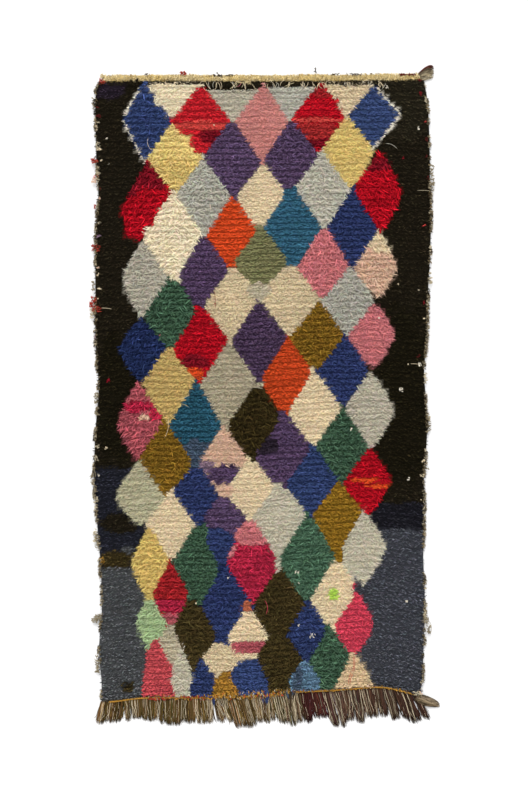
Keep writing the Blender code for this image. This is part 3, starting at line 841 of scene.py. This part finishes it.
def make_ground():
    """The ground and the dense foot of the pile: a closed sheet, tinted by its knots. Its top is
    darker, as painted shade between the strands, most under dark wools.
    """
    columns, rows = GROUND_CELLS
    across, along = np.meshgrid(np.linspace(0, 1, columns + 1), np.linspace(0, 1, rows + 1))
    x, y = on_cloth(across.ravel(), along.ravel(), inset=2 * MM, past=6 * MM)
    wool_index, _, _, _ = wool_at(x, y)
    tint = WOOL_COLOURS[wool_index]
    inward = np.minimum(np.minimum(x - left_x(y), right_x(y) - x), y - near_y(x))
    top_z = np.interp(inward, (0, 22 * MM), (RIM_TOP, GROUND_TOP))
    top_z = top_z + 0.8 * MM * smooth_noise(x, y, 0.02, seed=6)
    verts = np.concatenate((np.stack((x, y, top_z), -1), np.stack((x, y, 0 * x), -1)))
    count = (columns + 1) * (rows + 1)
    i, j = np.meshgrid(np.arange(columns), np.arange(rows))
    low = (j * (columns + 1) + i).ravel()
    high = low + columns + 1
    top = np.stack((low, low + 1, high + 1, high), -1)
    bottom = np.stack((low, high, high + 1, low + 1), -1) + count
    # The rim, anticlockwise from the near left corner.
    grid = np.arange(count).reshape(rows + 1, columns + 1)
    rim = np.concatenate((grid[0, :-1], grid[:-1, -1], grid[-1, :0:-1], grid[:0:-1, 0]))
    after = np.roll(rim, -1)
    sides = np.stack((rim + count, after + count, after, rim), -1)
    faces = np.concatenate((top, bottom, sides))
    lengths = np.full(len(faces), 4)
    # Painted shade: the top is darkened where it shows between the strands, most under dark wools.
    gap_shade = np.interp(tint.mean(axis=1), (0.1, 0.5), (0.5, 0.97))[:, None]
    colours = np.concatenate((gap_shade * tint, 0.8 * tint))
    mesh = mesh_from_arrays("ground", verts, faces.ravel(), lengths, colours)
    return place("ground", mesh, woven())


def woven():
    """The ground's back: knots in ribs along the rows, over the warp."""
    material = wool("woven_ground", grain=500.0)
    kinds = {"place": "TexCoord", "rows": "TexWave", "warp": "TexWave", "both": "Math", "bump": "Bump"}
    # A wave node of scale 1 has a band every pi / 10 metres.
    settings = {
        "rows": {"bands_direction": "Y", "Scale": math.pi / (10 * ROW_PITCH / 2), "Distortion": 1.5},
        "warp": {"bands_direction": "X", "Scale": math.pi / (10 * KNOT_PITCH), "Distortion": 1.5},
        "both": {"operation": "MULTIPLY"},
        "bump": {"Distance": 1.5 * MM},
    }
    links = (
        ("place", "Object", "rows", "Vector"), ("place", "Object", "warp", "Vector"),
        ("rows", "Fac", "both", 0), ("warp", "Fac", "both", 1),
        ("both", "Value", "bump", "Height"), ("bump", "Normal", "shader", "Normal"),
    )
    add_nodes(material.node_tree, kinds, settings, links)
    return material


# ------------------------------ the fringe

FRINGE_ENDS = 2300
FRINGE_POINTS = 6
FINGER_WIDTH = 1.3  # in centimetres, like the table of clumps
FINGER_PULL = 0.35  # how far a finger's tips draw together
UNDER_SHARE = 0.35  # of the ends are shorter, lie under the rest and fill the gaps between clumps


def warp_colours(x):
    """Colours for warp ends at x, and which of them are pale."""
    count = len(x)
    row = np.searchsorted([start * CM for start, _, _ in WARP], x) - 1
    colours = np.array([colour for _, colour, _ in WARP])[row]
    colours = colours * np.exp(0.5 * rng.normal(0, 1, (count, 1)) + 0.12 * rng.normal(0, 1, (count, 3)))
    pale = rng.random(count) < np.array([share for _, _, share in WARP])[row]
    colours[pale] = PALE_WARP * rng.uniform(0.6, 1.4, (pale.sum(), 1))
    return colours, pale


def fringe_ends():
    """Each warp end's root x, the lean of its clump, its tip's x and y, all in centimetres, and the
    tone of its finger."""
    root_left = FRINGE_START
    rows = []
    for root_right, tip_left, tip_right, tip_y in FRINGE:
        wide = root_right - root_left
        count = round(FRINGE_ENDS * wide / (FRINGE[-1][0] - FRINGE_START))
        fingers = max(2, round(wide / FINGER_WIDTH))
        share = (np.arange(count) + rng.uniform(0.0, 1.0, count)) / count
        under = rng.random(count) < UNDER_SHARE
        finger = np.minimum((share * fingers).astype(int), fingers - 1)
        # A finger's middle across the clump, its tone, how much shorter it is, and its sway.
        middle = ((np.arange(fingers) + 0.5) / fingers)[finger]
        tone = np.exp(rng.normal(0, 0.17, fingers))[finger]
        short = rng.uniform(-0.2, 0.6, fingers)[finger] + 0.3 * np.abs(2 * share - 1) ** 3
        short = short + 2.2 * (fingers * (share - middle)) ** 2
        short = short + under * rng.uniform(0.0, 2.2, count)
        sway = rng.normal(0, 0.3, fingers)[finger]
        root = root_left + share * wide
        straight = 0.5 * (tip_left + tip_right - root_left - root_right)
        tip_share = share + FINGER_PULL * (middle - share)
        tip = tip_left + tip_share * (tip_right - tip_left) + sway + 0.3 * rng.normal(0, 1, count)
        tip = np.where(under, root + straight + 0.8 * rng.normal(0, 1, count), tip)
        tip_ys = tip_y - 0.2 + short + rng.exponential(0.25, count)
        rows.append(np.stack((root, straight + sway, tip, tip_ys, tone)))
        root_left = root_right
    return np.concatenate(rows, axis=1)


def make_fringe():
    """The loose warp ends. They lean together, and gather into clumps towards their tips."""
    *places, tone = fringe_ends()
    root_x, lean, tip_x, tip_y = np.array(places) * CM
    count = len(root_x)
    colours, pale = warp_colours(root_x)
    colours = colours * np.where(pale, 1, tone)[:, None]
    root_y = near_y(root_x) + 3 * MM
    share = np.linspace(0, 1, FRINGE_POINTS)
    wave = rng.normal(0, 2 * MM, (count, 2)) * np.where(pale, 1.9, 1)[:, None]
    phase = rng.uniform(0, math.tau, (count, 2))
    x = root_x[:, None] + lean[:, None] * share + (tip_x - root_x - lean)[:, None] * share**2.5
    for turn in range(2):
        angle = (2 * turn + 1.5) * math.pi * share + phase[:, turn, None]
        x = x + share**0.7 * wave[:, turn, None] * np.sin(angle)
    y = root_y[:, None] + (tip_y - root_y)[:, None] * share
    layer = np.where(pale, rng.uniform(0.6, 1.15, count), rng.uniform(0, 0.95, count))[:, None]
    z = 1.8 * MM + layer * (6 - 3 * share) * MM + 1.5 * MM * (1 - share) ** 3
    radius = np.where(pale, rng.uniform(0.7, 1.2, count), rng.uniform(1.2, 1.9, count))[:, None] * MM
    radii = radius * np.interp(share, (0, 0.75, 1), (1, 0.95, 0.5))
    mesh = strand_mesh("fringe", [(np.stack((x, y, z), -1), radii, colours)], flatness=0.9)
    piece = place("fringe", mesh, wool("warp_wool", grain=700.0, mottle=0.4))
    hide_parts("warp_fringe")
    return piece


# ------------------------------ the cord

CORD_PLY_RADIUS = 1.5 * MM
CORD_HALF = 51 * CM  # of its length
CORD_TURN = 12 * MM  # the length of one full twist
CORD_POINTS_PER_TURN = 7
CORD_HEIGHT = 9.3 * MM
CORD_GAP = 2.9 * MM  # from the cloth's edge to the cord's middle
CORD_MIX = {"golden": 0.55, "rust": 0.12, "khaki": 0.13, "bark": 0.12, "beige": 0.08}


def make_cord():
    """The two-ply cord along the head of the fringe, with the ends that stick out of it."""
    points = round(2 * CORD_HALF / CORD_TURN * CORD_POINTS_PER_TURN)
    x = np.linspace(-CORD_HALF, CORD_HALF, points)
    phase = math.tau * np.arange(points) / CORD_POINTS_PER_TURN + 0.5 * line_noise(x, 0.03, seed=9)
    plies = []
    for start in (0, math.pi):
        y = near_y(x) - CORD_GAP + CORD_PLY_RADIUS * np.cos(phase + start)
        z = CORD_HEIGHT + CORD_PLY_RADIUS * np.sin(phase + start)
        plies.append(np.stack((x, y, z), -1))
    paths = np.stack(plies)
    radii = np.full(paths.shape[:2], CORD_PLY_RADIUS)
    tone = np.exp(0.15 * line_noise(x, 0.02, seed=10))
    golden = np.array(TRIMS["golden"])
    colours = tone[None, :, None] * golden * np.array((1.0, 0.8))[:, None, None]

    x = np.concatenate([rng.uniform(first, last, count) for first, last, count, _ in CORD_TUFTS]) * CM
    length = np.concatenate([np.full(count, length) for _, _, count, length in CORD_TUFTS]) * CM
    count = len(x)
    tints = mixed_yarns(CORD_MIX, count, 0.6, 1.2)
    y = near_y(x) - CORD_GAP + rng.uniform(-0.5, 1.0, count) * length
    z = rng.uniform(11, 18, count) * MM
    degrees = rng.normal(0, 30, count)
    tufts = short_strands(x, y, z, degrees, rng.uniform(0.5, 1.1, count) * length, tints)
    mesh = strand_mesh("cord", [(paths, radii, colours), tufts], sides=5, flatness=1.0)
    piece = place("cord", mesh, wool("cord_wool", grain=800.0, mottle=0.35))
    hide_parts("twined_cord")
    return piece


# ------------------------------ the binding

BINDING_WIDE = 26 * MM
BINDING_LIFT = 2.5 * MM  # how far past the cloth's edge its middle line moves
BINDING_HIGH = 13 * MM
BINDING_ENDS = (-53.3 * CM, 52.95 * CM)
BINDING_POINTS = 170
BINDING_STRANDS = 3300
BINDING_MIX = {"oat": 0.52, "oat_pale": 0.3, "oat_dark": 0.18}


def binding_y(x):
    """The middle line of the binding, which wanders a little."""
    return far_y(x) + BINDING_LIFT + 0.5 * BINDING_WIDE + 1.5 * MM * line_noise(x, 0.05, seed=13)


def make_binding():
    """The rolled and overcast warp ends: a lumpy bar under a nap of undyed wool."""
    x = np.linspace(*BINDING_ENDS, BINDING_POINTS)
    path = np.stack((x, binding_y(x), 0.45 * BINDING_HIGH + 0 * x), -1)[None]
    radii = (0.40 * BINDING_WIDE * (1 + 0.1 * line_noise(x, 0.02, seed=12)))[None]
    core = (path, radii, np.array(TRIMS["oat"])[None] * 0.7)
    bar = strand_mesh("binding_core", [core], sides=14, flatness=0.5)

    count = BINDING_STRANDS
    x = rng.uniform(BINDING_ENDS[0] + 2 * MM, BINDING_ENDS[1] - 2 * MM, count)
    aside = rng.uniform(-1, 1, count)
    y = binding_y(x) + (0.42 * BINDING_WIDE + 2 * MM * line_noise(x, 0.012, seed=15)) * aside
    z = BINDING_HIGH * (0.42 + 0.46 * np.sqrt(1 - (0.95 * aside) ** 2)) + rng.uniform(-1, 1.5, count) * MM
    colours = mixed_yarns(BINDING_MIX, count, 0.8, 1.15)
    golden = np.clip(0.5 + 0.7 * smooth_noise(x, y, 0.035, seed=16), 0, 1)[:, None]
    colours = colours * (1 - golden * (0.05, 0.14, 0.42))
    degrees = 25 * line_noise(x, 0.03, seed=14) + rng.normal(0, 50, count)
    nap = short_strands(x, y, z, degrees, rng.uniform(8, 15, count) * MM, colours, thick=1.3 * MM)
    material = wool("binding_wool")
    pieces = []
    for mesh in (bar, strand_mesh("binding", [nap])):
        pieces.append(place(mesh.name, mesh, material))
        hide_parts("top_binding")
    return pieces


# ------------------------------ loose ends


SELVEDGE_PITCH = 3 * MM
SELVEDGE_MIX = {"khaki": 0.38, "beige": 0.18, "bark": 0.14, "oat_dark": 0.16, "black": 0.14}


def selvedge_strands(edge_x, outward, seed):
    """Frayed warp, and a little dark wool, that shows in clumps along one side of the cloth."""
    ys = np.arange(near_y(0) - 15 * MM, far_y(0) - 4 * MM, SELVEDGE_PITCH)
    y = np.repeat(ys, 4) + rng.uniform(-2, 2, 4 * len(ys)) * MM
    fray = smooth_noise(0 * y, y, 0.04, seed) + 1.1 * smooth_noise(0 * y, y, 0.012, seed + 1)
    fray = fray + np.where(y < -20 * CM, 0.2, -0.15 if outward < 0 else 0.0)
    shown = fray + rng.uniform(-0.35, 0.35, len(y)) > 0
    y, fray = y[shown], fray[shown]
    count = len(y)
    x = edge_x(y) + outward * (rng.uniform(-7, 1, count) + 2.5 * np.clip(fray, 0, 1.2)) * MM
    z = rng.uniform(3, 18, count) * MM
    colours = mixed_yarns(SELVEDGE_MIX, count, 0.65, 1.2)
    degrees = outward * rng.normal(48, 36, count)
    return short_strands(x, y, z, degrees, rng.uniform(7, 15, count) * MM, colours)


def bit_strands():
    """The bits of yarn at the edges, and the specks in the pile."""
    batches = []
    specks = [(x, y, radius, radius, yarn, round(4 + 6 * radius)) for x, y, radius, yarn in SPECKS]
    for mid_x, mid_y, half_width, half_height, yarn, count in (*BITS, *specks):
        x = (mid_x + half_width * rng.uniform(-0.7, 0.7, count)) * CM
        y = (mid_y + half_height * rng.uniform(-0.7, 0.7, count)) * CM
        longest = np.clip(1.2 * CM * max(half_width, half_height), 5 * MM, 14 * MM)
        length = longest * rng.uniform(0.7, 1.2, count)
        # Wide bits lie across the rug, and so do those of a long row down a side.
        degrees = (90 if half_width > half_height or half_height > 2 else 0) + rng.normal(0, 40, count)
        colours = yarn_colour(yarn) * rng.uniform(0.75, 1.2, (count, 1))
        z = rng.uniform(11, 18, count) * MM
        batches.append(short_strands(x, y, z, degrees, length, colours, thick=1.9 * MM))
    return [np.concatenate(values) for values in zip(*batches)]


def thread_strands():
    """Single threads that lie over the pile."""
    rows = list(THREADS)
    for _ in range(TOP_LOOPS):
        x = rng.uniform(-37, 43)
        yarn = rng.choice(("cream", "cream", "oat_pale", "ice_pale"))
        start, end = rng.uniform(102.3, 103.7), rng.uniform(104.6, 105.9)
        rows.append((x, start, x + rng.normal(0, 1.4), end, rng.normal(0, 0.5), yarn))
    rows = [(*row[:5], yarn_colour(row[5])) for row in rows]
    x0, y0, x1, y1, aside = (np.array([row[i] for row in rows])[:, None] * CM for i in range(5))
    share = np.linspace(0, 1, 8)
    arch = 4 * share * (1 - share)
    length = np.hypot(x1 - x0, y1 - y0)
    x = x0 + (x1 - x0) * share + aside * arch * (y0 - y1) / length
    y = y0 + (y1 - y0) * share + aside * arch * (x1 - x0) / length
    z = GROUND_TOP + PILE_RISE + 0.6 * MM + 1.5 * MM * arch
    paths = np.stack((x, y, np.broadcast_to(z, x.shape)), -1)
    return paths, np.full(x.shape, 0.7 * MM), np.array([row[5] for row in rows])


def hanging_strands():
    """The pile that hangs over the fringe, drawn together towards its tips."""
    batches = []
    for mid_x, half_width, y0, y1, yarn, count in HANGING:
        x = (mid_x + half_width * rng.uniform(-1, 1, count)) * CM
        ends = rng.uniform(0.6, 1.0, count)
        share = np.linspace(0, 1, 6)
        y = (y0 + (y1 - y0) * ends[:, None] * share) * CM
        x = (x[:, None] - mid_x * CM) * (1 - 0.6 * share) + mid_x * CM
        x = x + 2.5 * MM * rng.normal(0, 1, (count, 1)) * np.sin(3 * share) * share
        z = np.broadcast_to(np.interp(share, (0, 0.3, 1), (15 * MM, 14 * MM, 8 * MM)), x.shape)
        colours = yarn_colour(yarn) * rng.uniform(0.6, 1.3, (count, 1))
        batches.append((np.stack((x, y, z), -1), np.full(x.shape, 1.2 * MM), colours))
    return batches


def make_loose_ends():
    sides = [selvedge_strands(left_x, -1, seed=20), selvedge_strands(right_x, 1, seed=22)]
    mesh = strand_mesh("selvedges", [[np.concatenate(values) for values in zip(*sides)]])
    selvedges = place("selvedges", mesh, wool("selvedge_wool", grain=800.0, mottle=0.4))
    mesh = strand_mesh("loose_ends", [bit_strands(), thread_strands(), *hanging_strands()])
    loose = place("loose_ends", mesh, wool("loose_wool"))
    return [selvedges, loose]


def bundle(name, rows, tints, count):
    """Strands side by side through a table of cross-sections along x. The tints run across it."""
    table = np.array(rows) * CM
    share = np.linspace(0, 1, 9)
    start, end = rng.uniform(0, 0.25, (count, 1)), rng.uniform(0.7, 1.0, (count, 1))
    x = table[0, 0] + (table[-1, 0] - table[0, 0]) * (start + (end - start) * share)
    middle, half, high = (np.interp(x, table[:, 0], table[:, column]) for column in (1, 2, 3))
    across, up = rng.uniform(-1, 1, (count, 1)), rng.uniform(0, 1, (count, 1))
    wander = 0.25 * np.sin(4 * share + rng.uniform(0, math.tau, (count, 1)))
    side = np.clip(across + wander, -1, 1)
    y = middle + 0.88 * half * side
    z = 1.5 * MM + (high - 3.5 * MM) * (0.15 + 0.85 * up) * np.sqrt(1 - 0.8 * side**2)
    place_across = np.interp(across[:, 0], (-1, 1), (0, len(tints) - 1))
    tints = np.array([TRIMS[tint] for tint in tints])
    colours = np.stack([np.interp(place_across, np.arange(len(tints)), tints[:, i]) for i in range(3)], -1)
    colours = colours * np.exp(0.45 * rng.normal(0, 1, (count, 1)))
    return strand_mesh(name, [(np.stack((x, y, z), -1), np.full(x.shape, 1.3 * MM), colours)])


def make_tufts():
    material = wool("tuft_wool", grain=700.0, mottle=0.4)
    # From the near side to the far side.
    tassel = bundle("tassel", TOP_TUFT, ("beige", "khaki", "khaki", "bark", "maroon"), 130)
    # Painted highlight: the lighter umber and drab run along the middle of the tail, over its crest.
    tail = bundle("tail", BOTTOM_TUFT, ("bark", "umber", "drab", "bark"), 150)
    pieces = []
    for mesh, node in ((tassel, "top_corner_tuft"), (tail, "bottom_corner_tuft")):
        piece = place(mesh.name, mesh, material)
        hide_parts(node)
        pieces.append(piece)
    return pieces


# ------------------------------ stage


FLOOR_HALF = 8.0
FLOOR_GAP = 0.5 * MM  # under the rug
FLOOR_WHITE = 0.93
SKY_STRENGTH = 0.86
SUN_STRENGTH = 2.05
SUN_SPREAD = math.radians(35)
SUN_TILT = (math.radians(-42), math.radians(-8), 0)


def make_stage():
    mesh = bpy.data.meshes.new("floor")
    corners = [(FLOOR_HALF * x, FLOOR_HALF * y, 0) for x, y in ((-1, -1), (1, -1), (1, 1), (-1, 1))]
    mesh.from_pydata(corners, [], [(0, 1, 2, 3)])
    floor = add_object("floor", mesh)
    floor.location.z = -FLOOR_GAP
    material = bpy.data.materials.new("pale_floor")
    material.use_nodes = True
    shader = material.node_tree.nodes["Principled BSDF"]
    shader.inputs["Base Color"].default_value = (FLOOR_WHITE, FLOOR_WHITE, FLOOR_WHITE, 1)
    shader.inputs["Roughness"].default_value = 1.0
    shader.inputs["Specular IOR Level"].default_value = 0.0
    mesh.materials.append(material)

    world = bpy.data.worlds.new("studio")
    world.use_nodes = True
    sky = world.node_tree.nodes["Background"]
    sky.inputs["Color"].default_value = (1, 1, 1, 1)
    sky.inputs["Strength"].default_value = SKY_STRENGTH
    bpy.context.scene.world = world

    lamp = bpy.data.lights.new("key", "SUN")
    lamp.energy = SUN_STRENGTH
    lamp.angle = SUN_SPREAD
    add_object("key", lamp).rotation_euler = SUN_TILT


CAMERA_LENS = 85.0
CAMERA_SENSOR = 36.0
CAMERA_OVER = (0.0067, 0.0067)  # the rug lies a little left of the view's middle, and below it
VIEW_HEIGHT = 2.64  # what the frame spans at the pile
PILE_MIDDLE = 12 * MM


def make_camera():
    data = bpy.data.cameras.new("above")
    data.lens = CAMERA_LENS
    data.sensor_width = CAMERA_SENSOR
    data.clip_end = 50
    camera = add_object("above", data)
    distance = VIEW_HEIGHT * CAMERA_LENS / CAMERA_SENSOR
    camera.location = (*CAMERA_OVER, distance + PILE_MIDDLE)
    bpy.context.scene.camera = camera


make_camera()
ground = make_ground()
trims = [make_fringe(), make_cord(), *make_binding(), *make_loose_ends(), *make_tufts()]
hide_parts("rug_cloth")
make_pile() + trims
make_stage()

bpy.context.scene.view_settings.view_transform = "Standard"
